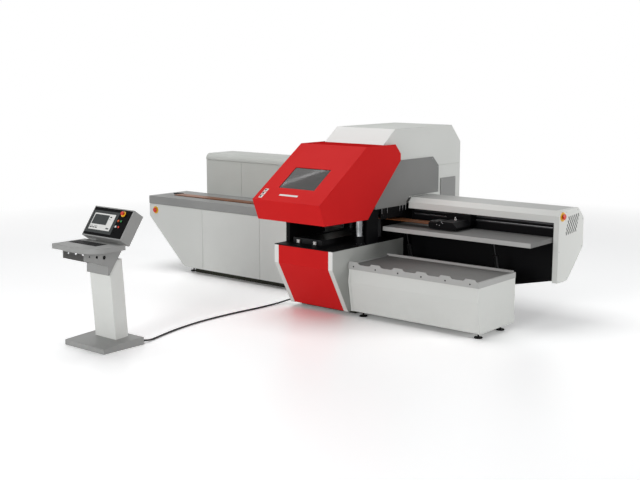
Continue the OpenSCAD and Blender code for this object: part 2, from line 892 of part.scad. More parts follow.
module tray_feet() {
    color(black) for (x = [tray_x0 + 124, tray_x1 - 55]) for (y = [tray_y0 + 110, tray_y1 - 193])
        levelling_foot(x, y, tray_floor);
}

// ---------- console ----------

// wedge-shaped foot: its top rises from the front edge to the rear edge
function foot_top(y) = 56 + (y - con_y0 - 30) * 26 / (con_y1 - con_y0 - 50);

module console_base() {
    w = con_w / 2;
    color(grey) along_x(con_x - w, con_x + w, [[con_y0, 0], [con_y0, 52],
        [con_y0 + 30, foot_top(con_y0 + 30)], [con_y1 - 20, foot_top(con_y1 - 20)],
        [con_y1, 76], [con_y1, 0]]);
}

module console_column() {
    back = tan(column_lean) * col_h;
    w = col_w / 2;
    rear = col_y + col_d;
    color(white) along_x(con_x - w, con_x + w, [[col_y, foot_top(col_y)],
        [rear, foot_top(rear)], [rear - back, foot_top(rear) + col_h],
        [col_y - back, foot_top(col_y) + col_h]]);
}

// points just under the screen housing, s along its depth
function under(s) = face_low + s * [cos(screen_lean), -sin(screen_lean)]
    - e * [sin(screen_lean), cos(screen_lean)];

// cheek outline of the head bracket; its lower front drops to the column
function bracket_pts() = let (z = shelf_z - shelf_t) [[shelf_y0 + 1, z], [shelf_y0 + 1, z - 75],
    [col_y - 74, z - 164], [col_y - 78, z - 254], [col_y - 60, z - 254], [col_y + 122, z],
    under(screen_d), under(86), [shelf_y1 + 5, z]];

module console_bracket() {
    w = col_w / 2;
    t = 6;
    z = shelf_z - shelf_t;
    color(grey) difference() {
        union() {
            for (s = [-1, 1])
                along_x(con_x + s * (w + t / 2) - t / 2, con_x + s * (w + t / 2) + t / 2, bracket_pts());
            along_x(con_x - w - t, con_x + w + t, [[shelf_y0 + 1, z - t], [col_y + 118, z - t],
                [col_y + 122, z], [shelf_y0 + 1, z]]);
            along_x(con_x - w - t, con_x + w + t, [[col_y - 74, z - 164], [col_y - 78, z - 254],
                [col_y - 72, z - 254], [col_y - 68, z - 166]]);
        }
        for (i = [0:2])
            pin_x(con_x - 300, con_x + 300, shelf_y0 + 66 + i * 89, z - 37 - i * 16, 18 + i * 11);
    }
}

module console_shelf() {
    z0 = shelf_z - shelf_t;
    r = shelf_r;
    color(grey) difference() {
        union() {
            box(shelf_x0, shelf_x1 - r, shelf_y0, shelf_y1, z0, shelf_z);
            box(shelf_x0, shelf_x1, shelf_y0 + r, shelf_y1, z0, shelf_z);
            pin_z(shelf_x1 - r, shelf_y0 + r, z0, shelf_z, 2 * r);
        }
        box(key_x0, key_x0 + key_w, key_y0, key_y0 + key_d, shelf_z - 8, shelf_z + 1);
    }
}

module keyboard() {
    x0 = key_x0 + e;
    y0 = key_y0 + e;
    nx = 14;
    ny = 5;
    dx = (key_w - 26) / nx;
    dy = (key_d - 26) / ny;
    color(black) difference() {
        box(x0, x0 + key_w - 2 * e, y0, y0 + key_d - 2 * e, shelf_z - 8, shelf_z + 3);
        for (i = [0:nx])
            box(x0 + 11 + i * dx, x0 + 14 + i * dx, y0 + 11, y0 + 14 + ny * dy, shelf_z + 1, shelf_z + 4);
        for (j = [0:ny])
            box(x0 + 11, x0 + 14 + nx * dx, y0 + 11 + j * dy, y0 + 14 + j * dy, shelf_z + 1, shelf_z + 4);
    }
}

// frame of the slanted screen face: X right, Y up the slope, Z out of the face
module face_frame() {
    translate([con_x, face_low[0], face_low[1]]) rotate([90 - screen_lean, 0, 0]) children();
}

module screen_box() {
    w = screen_w / 2;
    color(grey) face_frame() difference() {
        translate([-w, 0, -screen_d]) cube([screen_w, screen_h, screen_d - 2]);
        translate([-w + bezel, bezel, -face_t])
            cube([screen_w - 2 * bezel, screen_h - 2 * bezel, deep]);
        translate([stop_u[0], stop_u[1], 0]) stop_bore();
    }
}

module screen_face() {
    b = bezel + e;
    w = screen_w / 2 - b;
    color(black) face_frame() difference() {
        translate([-w, b, -face_t]) cube([2 * w, screen_h - 2 * b, face_t]);
        translate([view_u[0], view_u[1], -5]) cube([view_w, view_h, deep]);
        for (u = button_u) translate([u[0], u[1], -deep]) cylinder(d = button_dia - 4 + 2 * e, h = 2 * deep);
        translate([stop_u[0], stop_u[1], -deep]) cylinder(d = 22 + 2 * e, h = 2 * deep);
        translate([port_u[0] - 7, port_u[1] - 4, -6]) cube([14, 8, 8]);
    }
}

module display() {
    color(white) face_frame() translate([view_u[0] + e, view_u[1] + e, -5])
        cube([view_w - 2 * e, view_h - 2 * e, 3]);
}

module button(i) {
    tint = [[0.9, 0.35, 0.1], [0.1, 0.55, 0.2], white, red][i];
    color(tint) face_frame() translate(concat(button_u[i], 0)) {
        translate([0, 0, -4]) cylinder(d = button_dia - 4, h = 9);
        translate([0, 0, 5]) cylinder(d = button_dia, h = 2);
        translate([0, 0, 7]) cylinder(d1 = button_dia, d2 = button_dia - 4, h = 2);
    }
}

// yellow collar ring, drawn at the local origin with +Z outward
module stop_collar(d) {
    difference() {
        cylinder(d = d, h = 6);
        translate([0, 0, -1]) cylinder(d = 22 + 2 * e, h = 10);
    }
}

module stop_bore() {
    translate([0, 0, -26]) cylinder(d = 22 + 2 * e, h = 30);
}

module stop_head(d) {
    union() {
        translate([0, 0, -16]) cylinder(d = 22, h = 32);
        translate([0, 0, 16]) cylinder(d1 = 0.85 * d, d2 = d, h = 6);
        translate([0, 0, 22]) cylinder(d = d, h = 5);
        translate([0, 0, 27]) cylinder(d1 = d, d2 = 0.75 * d, h = 5);
    }
}

module on_table() { on_face([table_x0 + 128, table_y0, band_z - 86], [90, 0, 0]) children(); }
module on_cap() { on_face([arm_x1 + cap_t, arm_y0 + 77, arm_top - 66], [0, 90, 0]) children(); }
module on_console() { face_frame() translate([stop_u[0], stop_u[1], 0]) children(); }

// ---------- cable ----------

cable_y = -440;
cable_z = 62;
gland_l = 26;
cable_start = [con_x + 265, con_y1 + gland_l, 30];
cable_end = [-base_w / 2 - gland_l, cable_y, cable_z];
cable_pts = [cable_start, [-452, -2690, 20], [-470, -2600, 12], [-520, -2420, 12],
    [-575, -2200, 12], [-618, -1950, 12], [-640, -1700, 12], [-640, -1400, 12],
    [-625, -1150, 12], [-600, -900, 12], [-590, -700, 13], [-565, -560, 22],
    [-520, -475, 44], [-480, -446, 58], cable_end];

function spline(p, i, t) = let (
    a = p[max(i - 1, 0)], b = p[i], c = p[i + 1], d = p[min(i + 2, len(p) - 1)],
    u = (c - a) / 2, v = (d - b) / 2)
    (2 * t^3 - 3 * t^2 + 1) * b + (t^3 - 2 * t^2 + t) * u
    + (3 * t^2 - 2 * t^3) * c + (t^3 - t^2) * v;

steps = 4;
cable_line = concat([for (i = [0:len(cable_pts) - 2]) for (k = [0:steps - 1])
    spline(cable_pts, i, k / steps)], [cable_end]);

function unit(v) = v / norm(v);
function heading(p, i) = i == 0 ? [0, 1, 0]
    : i == len(p) - 1 ? [1, 0, 0]
    : unit(p[i + 1] - p[i - 1]);
function ring(p, i, r, n) = let (
    h = heading(p, i), s = unit(cross(h, [0, 0, 1])), w = cross(s, h))
    [for (k = [0:n - 1]) p[i] + r * (cos(k * 360 / n) * s + sin(k * 360 / n) * w)];

module sweep(p, r, n) {
    m = len(p);
    pts = [for (i = [0:m - 1]) each ring(p, i, r, n)];
    sides = [for (i = [0:m - 2]) for (k = [0:n - 1])
        [i * n + k, i * n + (k + 1) % n, (i + 1) * n + (k + 1) % n, (i + 1) * n + k]];
    first = [for (k = [0:n - 1]) n - 1 - k];
    last = [for (k = [0:n - 1]) (m - 1) * n + k];
    polyhedron(pts, concat([first], sides, [last]));
}

module cable() {
    color(black) sweep(cable_line, cable_d / 2, 10);
}

module cable_glands() {
    color(black) {
        pin_y(cable_start[0], con_y1, con_y1 + gland_l, cable_start[2], 32);
        pin_x(-base_w / 2 - gland_l, -base_w / 2, cable_y, cable_z, 32);
    }
}

module stop_collars() {
    color(yellow) {
        on_table() stop_collar(100);
        on_cap() stop_collar(100);
        on_console() stop_collar(60);
    }
}

module stop_a() { color(red) on_table() stop_head(64); }
module stop_b() { color(red) on_cap() stop_head(64); }
module stop_c() { color(red) on_console() stop_head(40); }

plinths();
press_base();
press_panel();
bolster();
press_frame();
guide_column();
ram_plate();
punches();
die_set();
star_knob(0);  // star_knob_a
star_knob(1);  // star_knob_b
hood();
hood_window();
hood_pins();
housing_lower();
housing_upper();
side_covers();
curtain();
cabinet();
cabinet_panels();
levelling_feet();
table_top();
end_stop();
busbar();
rear_cabinet();
arm_beam();
arm_cover();
end_cap();
feed_rails();
carriage();
gripper();
gripper_jaw();
gripper_lever();
support_plate();
lift_tube(lift_x[0]);  // lift_tube_a
lift_tube(lift_x[1]);  // lift_tube_b
lift_rod(lift_x[0]);  // lift_rod_a
lift_rod(lift_x[1]);  // lift_rod_b
tray_body();
tray_front();
tray_rim();
tray_pan();
console_base();
console_column();
console_bracket();
console_shelf();
keyboard();
screen_box();
screen_face();
display();
button(0);  // button_a
button(1);  // button_b
button(2);  // button_c
button(3);  // button_d
stop_collars();
stop_a();
stop_b();
stop_c();
cable();
cable_glands();
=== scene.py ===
import json
from math import cos, pi, radians, sin

import bmesh
import bpy
from mathutils import Matrix, Vector


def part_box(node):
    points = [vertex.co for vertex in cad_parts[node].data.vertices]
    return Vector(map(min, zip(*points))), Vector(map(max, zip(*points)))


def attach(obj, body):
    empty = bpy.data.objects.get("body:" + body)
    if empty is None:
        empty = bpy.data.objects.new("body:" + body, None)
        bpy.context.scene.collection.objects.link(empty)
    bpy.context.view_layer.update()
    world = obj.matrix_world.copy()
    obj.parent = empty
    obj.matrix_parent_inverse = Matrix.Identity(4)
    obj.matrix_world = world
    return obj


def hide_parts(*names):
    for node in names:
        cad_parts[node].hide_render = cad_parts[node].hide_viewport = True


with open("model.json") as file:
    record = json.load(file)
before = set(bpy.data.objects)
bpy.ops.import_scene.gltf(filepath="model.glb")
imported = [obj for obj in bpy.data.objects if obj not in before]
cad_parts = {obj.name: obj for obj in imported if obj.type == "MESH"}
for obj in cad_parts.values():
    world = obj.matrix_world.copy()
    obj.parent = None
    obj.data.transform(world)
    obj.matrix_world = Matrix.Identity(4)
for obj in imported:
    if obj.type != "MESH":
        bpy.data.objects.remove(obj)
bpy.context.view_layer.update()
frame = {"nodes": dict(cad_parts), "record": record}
nodes = frame["nodes"]
print("frame loaded:", len(nodes), "nodes")


def fromNode(name, shares, offset=(0.0, 0.0, 0.0)):
    # a point of a node's box, 0 for its low side along an axis and 1 for its high side, and an offset
    low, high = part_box(name)
    return Vector([low[i] + shares[i] * (high[i] - low[i]) + offset[i] for i in range(3)])


def collectionLink(obj):
    bpy.context.scene.collection.objects.link(obj)
    return obj


def meshPiece(name, build, material=None):
    # build fills a bmesh; the piece comes out with its faces pointing outwards
    shape = bmesh.new()
    build(shape)
    bmesh.ops.recalc_face_normals(shape, faces=shape.faces)
    mesh = bpy.data.meshes.new(name)
    shape.to_mesh(mesh)
    shape.free()
    if material:
        mesh.materials.append(material)
    return collectionLink(bpy.data.objects.new(name, mesh))


bevelLook = {"segments": 2, "profile": 0.6}


def addBox(shape, low, high, bevel=0.0, turn=Matrix.Identity(4)):
    # turn carries the box from its own frame to the machine's
    low, high = Vector(low), Vector(high)
    made = bmesh.ops.create_cube(shape, size=1.0)["verts"]
    for point in made:
        place = [(low[i] + high[i]) / 2 + point.co[i] * (high[i] - low[i]) for i in range(3)]
        point.co = turn @ Vector(place)
    if bevel:
        edges = list(dict.fromkeys(edge for point in made for edge in point.link_edges))
        bmesh.ops.bevel(shape, geom=edges, offset=bevel, affect="EDGES", **bevelLook)


# camera: place in metres, angles in degrees, lens and sensor in millimetres
cameraView = {"place": (7.465, -9.465, 2.75), "down": 9.391, "turn": 39.759, "lens": 58.63, "sensor": 36.0,
              "reach": 200.0}


def makeCamera(view):
    data = bpy.data.cameras.new("camera")
    data.lens = view["lens"]
    data.sensor_width = view["sensor"]
    data.clip_end = view["reach"]
    camera = collectionLink(bpy.data.objects.new("camera", data))
    camera.location = view["place"]
    camera.rotation_euler = (radians(90 - view["down"]), 0.0, radians(view["turn"]))
    bpy.context.scene.camera = camera


makeCamera(cameraView)
print("camera set")


# building blocks of the materials
def startMaterial(name):
    material = bpy.data.materials.new(name)
    material.use_nodes = True
    tree = material.node_tree
    return material, tree, tree.nodes["Principled BSDF"]


def feed(tree, socket, value):
    # a link from another node, or a plain value; three numbers make an opaque colour
    if isinstance(value, bpy.types.NodeSocket):
        tree.links.new(value, socket)
    elif socket.type == "RGBA" and len(value) == 3:
        socket.default_value = (*value, 1.0)
    else:
        socket.default_value = value


def addNode(tree, kind, inputs=None, **settings):
    made = tree.nodes.new(kind)
    for key, value in settings.items():
        setattr(made, key, value)
    for key, value in (inputs or {}).items():
        feed(tree, made.inputs[key], value)
    return made


def objectPlace(tree):
    return addNode(tree, "ShaderNodeTexCoord").outputs["Object"]


def noiseOn(tree, place, scale, detail=2.0, roughness=0.5):
    return addNode(tree, "ShaderNodeTexNoise", {"Vector": place, "Scale": scale, "Detail": detail,
                                                "Roughness": roughness}).outputs[0]


def spread(tree, value, low, high, fromLow=0.3, fromHigh=0.7):
    # noise lies mostly between 0.3 and 0.7, so that range is stretched to low and high
    return addNode(tree, "ShaderNodeMapRange", {"Value": value, "From Min": fromLow, "From Max": fromHigh,
                                                "To Min": low, "To Max": high}).outputs["Result"]


def blendColour(tree, factor, first, second):
    return addNode(tree, "ShaderNodeMix", {0: factor, 6: first, 7: second}, data_type="RGBA").outputs[2]


def times(tree, first, second):
    return addNode(tree, "ShaderNodeMath", {0: first, 1: second}, operation="MULTIPLY").outputs[0]


def softNormal(tree, radius):
    # rounds the shading of folded and milled edges
    return addNode(tree, "ShaderNodeBevel", {"Radius": radius}, samples=4).outputs["Normal"]


def edgeMask(tree, softened, flat=0.995, full=0.90):
    # one along the edges, where the softened normal leaves the true one, and zero elsewhere
    true = addNode(tree, "ShaderNodeNewGeometry").outputs["Normal"]
    dot = addNode(tree, "ShaderNodeVectorMath", {0: softened, 1: true}, operation="DOT_PRODUCT")
    return spread(tree, dot.outputs["Value"], 1.0, 0.0, full, flat)


def dressShader(tree, shader, colour, mottle, look):
    # roughness follows the mottling about its mean
    low, high = look["roughnessSpread"]
    tree.links.new(colour, shader.inputs["Base Color"])
    tree.links.new(spread(tree, mottle, look["roughness"] + low, look["roughness"] + high),
                   shader.inputs["Roughness"])
    shader.inputs["Specular IOR Level"].default_value = look["specular"]


def addRelief(tree, shader, height, normal, look):
    strength, distance = look["relief"]
    bump = addNode(tree, "ShaderNodeBump", {"Strength": strength, "Distance": distance, "Height": height,
                                            "Normal": normal})
    tree.links.new(bump.outputs["Normal"], shader.inputs["Normal"])


def paintedMetal(name, look):
    # colour and clouded shade, orange peel, dust near the floor, thinner paint along the edges
    material, tree, shader = startMaterial(name)
    place = objectPlace(tree)
    clouds = noiseOn(tree, place, *look["clouds"])
    colour = blendColour(tree, spread(tree, clouds, 0.0, 1.0), look["colour"], look["shade"])
    height = addNode(tree, "ShaderNodeSeparateXYZ", {"Vector": place}).outputs["Z"]
    nearFloor = spread(tree, height, 1.0, 0.0, *look["dustZone"])
    smear = spread(tree, noiseOn(tree, place, *look["smears"]), 0.0, 1.0, *look["smearRange"])
    dust = times(tree, times(tree, nearFloor, smear), look["dust"])
    colour = blendColour(tree, dust, colour, look["dustColour"])
    normal = softNormal(tree, look["edgeRadius"])
    patchy = spread(tree, noiseOn(tree, place, *look["patches"]), look["leastWear"], 1.0)
    worn = times(tree, times(tree, edgeMask(tree, normal), patchy), look["edgeWear"])
    colour = blendColour(tree, worn, colour, look["edgeColour"])
    dressShader(tree, shader, colour, clouds, look)
    addRelief(tree, shader, noiseOn(tree, place, *look["grain"]), normal, look)
    return material


# in all looks a noise is (scale, detail, roughness) and a relief is (strength, height in metres)
steelBase = {"drawing": (14.0, 5.0, 0.7), "blotches": (9.0, 4.0), "lineShade": 0.5, "relief": (0.2, 0.0006),
             "roughness": 0.36, "roughnessSpread": (-0.06, 0.10), "edgeRadius": 0.0012, "metallic": 1.0,
             "specular": 0.5}


def machinedMetal(name, changes):
    # fine lines along one axis, as left by milling or drawing; on the hard chrome, broad dark bands of
    # painted reflection
    look = {**steelBase, **changes}
    material, tree, shader = startMaterial(name)
    place = objectPlace(tree)
    drawn = addNode(tree, "ShaderNodeMapping", {"Vector": place, "Scale": look["lines"]}).outputs["Vector"]
    lines = noiseOn(tree, drawn, *look["drawing"])
    blotch = noiseOn(tree, place, *look["blotches"])
    colour = blendColour(tree, spread(tree, blotch, 0.0, 1.0), look["colour"], look["shade"])
    colour = blendColour(tree, spread(tree, lines, 0.0, look["lineShade"]), colour, look["shade"])
    dressShader(tree, shader, colour, lines, look)
    addRelief(tree, shader, lines, softNormal(tree, look["edgeRadius"]), look)
    shader.inputs["Metallic"].default_value = look["metallic"]
    return material


plasticBase = {"clouds": (22.0, 3.0), "grain": (900.0, 1.0), "relief": (0.15, 0.0004),
               "roughnessSpread": (-0.04, 0.08), "edgeRadius": 0.0008, "specular": 0.4}


def mouldedPlastic(name, changes):
    look = {**plasticBase, **changes}
    material, tree, shader = startMaterial(name)
    place = objectPlace(tree)
    clouds = noiseOn(tree, place, *look["clouds"])
    colour = blendColour(tree, spread(tree, clouds, 0.0, 1.0), look["colour"], look["shade"])
    dressShader(tree, shader, colour, clouds, look)
    grain = noiseOn(tree, place, *look["grain"])
    addRelief(tree, shader, grain, softNormal(tree, look["edgeRadius"]), look)
    return material


def tintedSheet(name, look):
    # smoked acrylic: mostly dark, a little see-through, sharp reflections
    material, tree, shader = startMaterial(name)
    smear = noiseOn(tree, objectPlace(tree), *look["smears"])
    colour = blendColour(tree, spread(tree, smear, 0.0, 1.0), look["colour"], look["shade"])
    dressShader(tree, shader, colour, smear, look)
    shader.inputs["IOR"].default_value = look["ior"]
    shader.inputs["Transmission Weight"].default_value = look["clear"]
    return material


# paints: each one says what differs from the white powder coat or from the paint it names
whiteCoat = {"colour": (0.72, 0.73, 0.705), "shade": (0.68, 0.69, 0.665), "clouds": (0.9, 4.0),
             "dust": 0.10, "dustColour": (0.33, 0.32, 0.29), "dustZone": (0.03, 0.42),
             "smears": (7.0, 6.0, 0.65), "smearRange": (0.4, 0.75), "edgeRadius": 0.004,
             "edgeWear": 0.25, "leastWear": 0.2, "edgeColour": (0.80, 0.81, 0.78), "patches": (38.0, 3.0),
             "roughness": 0.46, "roughnessSpread": (-0.05, 0.07), "specular": 0.17,
             "grain": (520.0, 2.0), "relief": (0.12, 0.0012)}
# a lighter copy of the white paint: a painted highlight on faces turned to the light
litWhiteCoat = {**whiteCoat, "colour": (0.88, 0.88, 0.86), "shade": (0.84, 0.84, 0.82),
            "edgeColour": (0.9, 0.9, 0.88)}
# the rear cabinet's own grey, also laid on the housing roof as painted shade
rearCoatAndRoofShade = {**whiteCoat, "colour": (0.62, 0.635, 0.605), "shade": (0.57, 0.585, 0.555),
            "edgeColour": (0.74, 0.75, 0.72)}
# a mid grey copy of the white paint: painted shade on the press base's right side
shadedCheekCoat = {**whiteCoat, "colour": (0.44, 0.45, 0.43), "shade": (0.40, 0.41, 0.39),
             "edgeColour": (0.70, 0.71, 0.68)}
paleCoat = {**whiteCoat, "colour": (0.50, 0.505, 0.49), "shade": (0.46, 0.465, 0.45),
            "edgeColour": (0.60, 0.60, 0.585)}
redCoat = {**whiteCoat, "colour": (0.68, 0.020, 0.020), "shade": (0.62, 0.017, 0.018),
           "edgeColour": (0.70, 0.04, 0.04), "edgeWear": 0.3, "dust": 0.03, "roughness": 0.42,
           "specular": 0.03, "grain": (300.0, 2.0)}
# a darker, dull copy of the red: painted shade on the hood's crown
shadedRedCoat = {**redCoat, "colour": (0.58, 0.015, 0.015), "shade": (0.54, 0.013, 0.014),
            "edgeColour": (0.60, 0.020, 0.020), "dust": 0.0, "roughness": 0.7, "specular": 0.0}
greyCoat = {**whiteCoat, "colour": (0.33, 0.332, 0.325), "shade": (0.29, 0.292, 0.286),
            "edgeColour": (0.46, 0.46, 0.45), "roughness": 0.48, "specular": 0.2}
coverCoat = {**greyCoat, "colour": (0.235, 0.237, 0.232), "shade": (0.21, 0.212, 0.207),
             "edgeColour": (0.34, 0.34, 0.33)}
rimCoat = {**greyCoat, "colour": (0.47, 0.47, 0.46), "shade": (0.43, 0.43, 0.42),
           "edgeColour": (0.55, 0.55, 0.54)}
panCoat = {**greyCoat, "colour": (0.22, 0.22, 0.214), "shade": (0.19, 0.19, 0.184),
           "edgeColour": (0.3, 0.3, 0.29)}
# a very dark grey: painted shade on the drop plate and inside the console bracket
shadedPlateCoat = {**greyCoat, "colour": (0.17, 0.17, 0.166), "shade": (0.15, 0.15, 0.146)}
blackCoat = {**whiteCoat, "colour": (0.0035, 0.0035, 0.004), "shade": (0.0025, 0.0025, 0.003), "dust": 0.15,
             "dustColour": (0.03, 0.03, 0.029), "edgeWear": 0.3, "edgeColour": (0.03, 0.03, 0.032),
             "roughness": 0.5, "specular": 0.07}
plinthCoat = {**blackCoat, "colour": (0.05, 0.05, 0.038), "shade": (0.035, 0.035, 0.027)}

# finishes by the slot or the use they serve
materials = {
    "white_paint": paintedMetal("whitePowderCoat", whiteCoat),
    "trim_paint": paintedMetal("whitePaintedHighlight", litWhiteCoat),
    "rear_paint": paintedMetal("rearCabinetPaintAndRoofShade", rearCoatAndRoofShade),
    "cheek_paint": paintedMetal("cheekSidePaintedShade", shadedCheekCoat),
    "fold_paint": paintedMetal("hoodCrownPaintedShade", shadedRedCoat),
    "red_paint": paintedMetal("redGlossPaint", redCoat),
    "grey_paint": paintedMetal("greyPowderCoat", greyCoat),
    "cover_paint": paintedMetal("darkGreyPowderCoat", coverCoat),
    "pale_paint": paintedMetal("paleGreyPowderCoat", paleCoat),
    "rim_paint": paintedMetal("trayRimPaint", rimCoat),
    "pan_paint": paintedMetal("trayPanPaint", panCoat),
    "plate_paint": paintedMetal("dropPlatePaintedShade", shadedPlateCoat),
    "black_paint": paintedMetal("blackFramePaint", blackCoat),
    "dark_paint": paintedMetal("plinthPaint", plinthCoat),
    "machined_steel": machinedMetal("groundSteel", {
        "colour": (0.55, 0.56, 0.57), "shade": (0.40, 0.41, 0.42), "lines": (0.4, 8.0, 8.0),
        "roughness": 0.3}),
    "tool_steel": machinedMetal("oiledToolSteel", {
        "colour": (0.035, 0.035, 0.037), "shade": (0.02, 0.02, 0.021), "lines": (6.0, 6.0, 1.0),
        "metallic": 0.9}),
    # on the hard chrome the lines are broad dark bands along the bar, a painted reflection of dark
    # surroundings
    "chrome_bar": machinedMetal("hardChromePaintedReflection", {
        "colour": (0.46, 0.47, 0.48), "shade": (0.08, 0.08, 0.085), "lines": (2.4, 2.4, 0.02),
        "lineShade": 1.0, "relief": (0.04, 0.0006), "roughness": 0.16}),
    "track_steel": machinedMetal("oiledTrack", {
        "colour": (0.09, 0.09, 0.092), "shade": (0.05, 0.05, 0.052), "lines": (0.4, 8.0, 8.0)}),
    "copper_bar": machinedMetal("drawnCopper", {
        "colour": (0.34, 0.125, 0.045), "shade": (0.16, 0.06, 0.026), "lines": (0.25, 9.0, 9.0),
        "lineShade": 0.7, "relief": (0.25, 0.0006), "roughness": 0.42, "metallic": 0.95}),
    "window_sheet": tintedSheet("smokedAcrylic", {
        "colour": (0.062, 0.059, 0.057), "shade": (0.052, 0.050, 0.048), "smears": (6.0, 5.0, 0.7),
        "roughness": 0.02, "roughnessSpread": (0.0, 0.03), "specular": 0.3, "ior": 1.49, "clear": 0.3}),
    "screen_glass": mouldedPlastic("screenGlass", {
        "colour": (0.03, 0.032, 0.034), "shade": (0.024, 0.025, 0.027), "roughness": 0.1,
        "relief": (0.0, 0.0004), "specular": 0.2}),
    "face_gloss": mouldedPlastic("glossBlackFace", {
        "colour": (0.003, 0.003, 0.0035), "shade": (0.002, 0.002, 0.0025), "roughness": 0.16,
        "relief": (0.02, 0.0004), "specular": 0.04}),
    "curtain_sheet": mouldedPlastic("curtainRubber", {
        "colour": (0.004, 0.004, 0.0045), "shade": (0.003, 0.003, 0.0035), "roughness": 0.5,
        "specular": 0.08}),
    "white_plastic": mouldedPlastic("whitePlastic", {
        "colour": (0.84, 0.84, 0.82), "shade": (0.78, 0.78, 0.76), "roughness": 0.3}),
    "black_plastic": mouldedPlastic("blackPlastic", {
        "colour": (0.008, 0.008, 0.009), "shade": (0.006, 0.006, 0.007), "roughness": 0.5,
        "specular": 0.08}),
    "orange_plastic": mouldedPlastic("orangeLens", {
        "colour": (0.85, 0.14, 0.03), "shade": (0.7, 0.10, 0.02), "roughness": 0.22}),
    "green_plastic": mouldedPlastic("greenLens", {
        "colour": (0.02, 0.30, 0.06), "shade": (0.015, 0.22, 0.04), "roughness": 0.22}),
    "red_plastic": mouldedPlastic("redMushroom", {
        "colour": (0.70, 0.035, 0.012), "shade": (0.6, 0.03, 0.01), "roughness": 0.25}),
    "yellow_plastic": mouldedPlastic("yellowPlastic", {
        "colour": (0.86, 0.48, 0.02), "shade": (0.78, 0.42, 0.02), "roughness": 0.3}),
    "label_white": mouldedPlastic("whiteLabelFilm", {
        "colour": (0.74, 0.74, 0.72), "shade": (0.68, 0.68, 0.66), "roughness": 0.35}),
    "screen_dark": mouldedPlastic("screenBorder", {
        "colour": (0.045, 0.05, 0.05), "shade": (0.038, 0.042, 0.042), "roughness": 0.14,
        "relief": (0.0, 0.0004), "specular": 0.15}),
    "cable_sheath": mouldedPlastic("cableRubber", {
        "colour": (0.014, 0.014, 0.015), "shade": (0.008, 0.008, 0.009), "roughness": 0.55}),
}
print("materials:", len(materials))


# CAD pieces keep their shape and get the finish of their slot, or the one named here
slotOf = {part["node"]: part["material_slot"] for part in frame["record"]["subparts"]}
otherFinish = {
    "rear_cabinet": "rear_paint", "tray_pan": "pan_paint", "tray_rim": "rim_paint",
    "arm_cover": "pale_paint", "side_covers": "cover_paint", "support_plate": "plate_paint",
    "screen_face": "face_gloss", "ram_plate": "tool_steel", "lift_tube_a": "tool_steel",
    "lift_tube_b": "tool_steel", "lift_rod_a": "track_steel", "lift_rod_b": "track_steel"}

# a second finish on faces picked by where they look and by their share of the way across the node's box
leaning, square, level = 0.3, 0.9, 0.95  # least part of a face's normal along an axis
limits = {"cheekCrease": 0.63, "serviceDoor": 0.8, "rightCheek": 0.85, "hoodTop": 0.9, "bracketLeft": 0.4}
faceFinish = [
    # the drop plate is in the very dark grey as painted shade, its front faces in the lighter rim grey as
    # the lit side
    ("support_plate", "rim_paint", lambda normal, share: normal.y < -square),
    # faces of the grey arm cover turned to the front get the white paint as a painted highlight
    ("arm_cover", "white_paint", lambda normal, share: normal.y < -leaning),
    # the upper front faces of the press cheeks get the lighter white as a painted highlight
    ("press_base", "trim_paint",
     lambda normal, share: normal.y < -square and share.z > limits["cheekCrease"]),
    ("side_covers", "grey_paint", lambda normal, share: share.y > limits["serviceDoor"]),
    # the press base's right outer side gets the mid grey as painted shade for the shadow of hood, arm and
    # tray
    ("press_base", "cheek_paint",
     lambda normal, share: normal.x > square and share.x > limits["rightCheek"]),
    # the housing roof's top faces get the rear cabinet's grey as painted shade
    ("housing_upper", "rear_paint", lambda normal, share: normal.z > level),
    # the housing's sloping front gets the lighter white as a painted highlight
    ("housing_upper", "trim_paint", lambda normal, share: normal.y < -leaning and normal.z > leaning),
    # the hood's flat crown top gets the darker red as painted shade
    ("hood", "fold_paint", lambda normal, share: normal.z > level and share.z > limits["hoodTop"]),
    # the left inner face of the console bracket gets the very dark grey as painted shade
    ("console_bracket", "plate_paint",
     lambda normal, share: normal.x > square and share.x < limits["bracketLeft"])]


def finishNodes(chosen, second):
    for name, piece in nodes.items():
        finish = materials[chosen.get(name, slotOf[name])]
        if not piece.material_slots:
            piece.data.materials.append(finish)
        for entry in piece.material_slots:
            entry.material = finish
    for name, finish, fits in second:
        mesh = nodes[name].data
        low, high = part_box(name)
        mesh.materials.append(materials[finish])
        for face in mesh.polygons:
            share = Vector([(face.center[i] - low[i]) / (high[i] - low[i]) for i in range(3)])
            if fits(face.normal, share):
                face.material_index = len(mesh.materials) - 1
    print("finished nodes:", len(nodes), "and", len(second), "second finishes")


finishNodes(otherFinish, faceFinish)


# geometry nodes: what repeats along a row or sits on given points
right, front, up = (1.0, 0.0, 0.0), (0.0, -1.0, 0.0), (0.0, 0.0, 1.0)


def geometryTree(name, sockets, build):
    tree = bpy.data.node_groups.new(name, "GeometryNodeTree")
    tree.interface.new_socket("Geometry", in_out="INPUT", socket_type="NodeSocketGeometry")
    for label, kind in sockets + [("Finish", "Material")]:
        tree.interface.new_socket(label, in_out="INPUT", socket_type="NodeSocket" + kind)
    tree.interface.new_socket("Geometry", in_out="OUTPUT", socket_type="NodeSocketGeometry")
    given = tree.nodes.new("NodeGroupInput").outputs
    solid = addNode(tree, "GeometryNodeRealizeInstances", {0: build(tree, given)}).outputs[0]
    done = addNode(tree, "GeometryNodeSetMaterial", {0: solid, "Material": given["Finish"]}).outputs[0]
    tree.links.new(done, tree.nodes.new("NodeGroupOutput").inputs[0])
    return tree


def readAttribute(tree, name, kind):
    found = addNode(tree, "GeometryNodeInputNamedAttribute", {"Name": name}, data_type=kind)
    return found.outputs["Attribute"]


def objectShape(tree, given):
    found = addNode(tree, "GeometryNodeObjectInfo", {"Object": given}, transform_space="ORIGINAL")
    return found.outputs["Geometry"]


